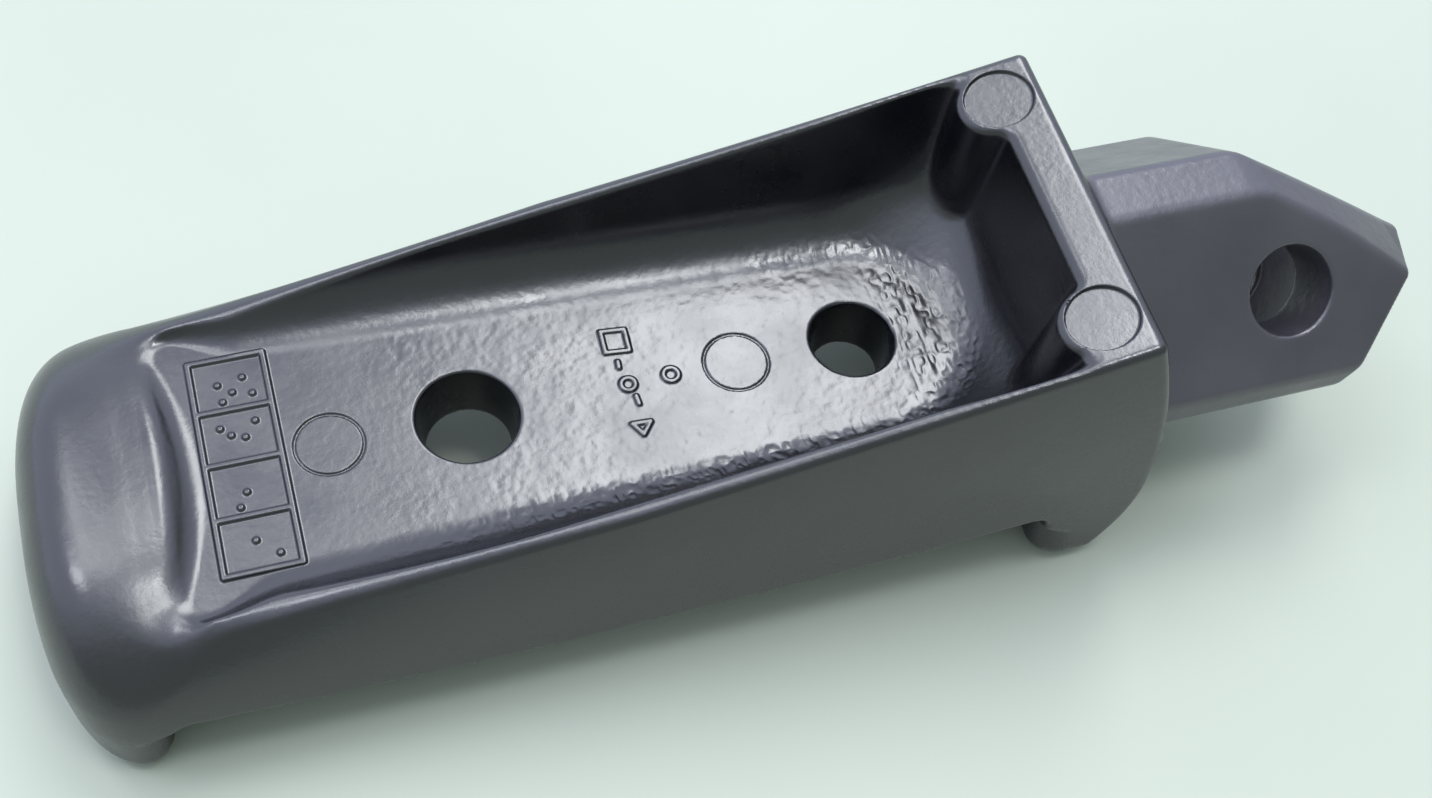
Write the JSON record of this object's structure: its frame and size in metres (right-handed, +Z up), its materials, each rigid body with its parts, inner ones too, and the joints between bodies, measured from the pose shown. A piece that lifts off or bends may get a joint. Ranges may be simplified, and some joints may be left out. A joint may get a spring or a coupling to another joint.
{
  "type": "motorcycle footrest bar",
  "caption": "Cast footrest bar with a hollow underside, two lips for a pad, two pad screw holes and an angled hinge fork.",
  "frame": {"origin": "bottom middle of the bounding box, on the surface that the bar lies on with its pad lips down", "axes": "+X from the rounded tip to the hinge fork along the bar, +Y across it to the side away from the fork's machined near face, +Z up out of the hollow underside"},
  "size_m": [0.122, 0.0378, 0.0309],
  "materials": {
    "black_paint": "satin black paint over an as-cast skin"
  },
  "bodies": {
    "root": {"footrest_bar": "black_paint"}
  },
  "joints": []
}
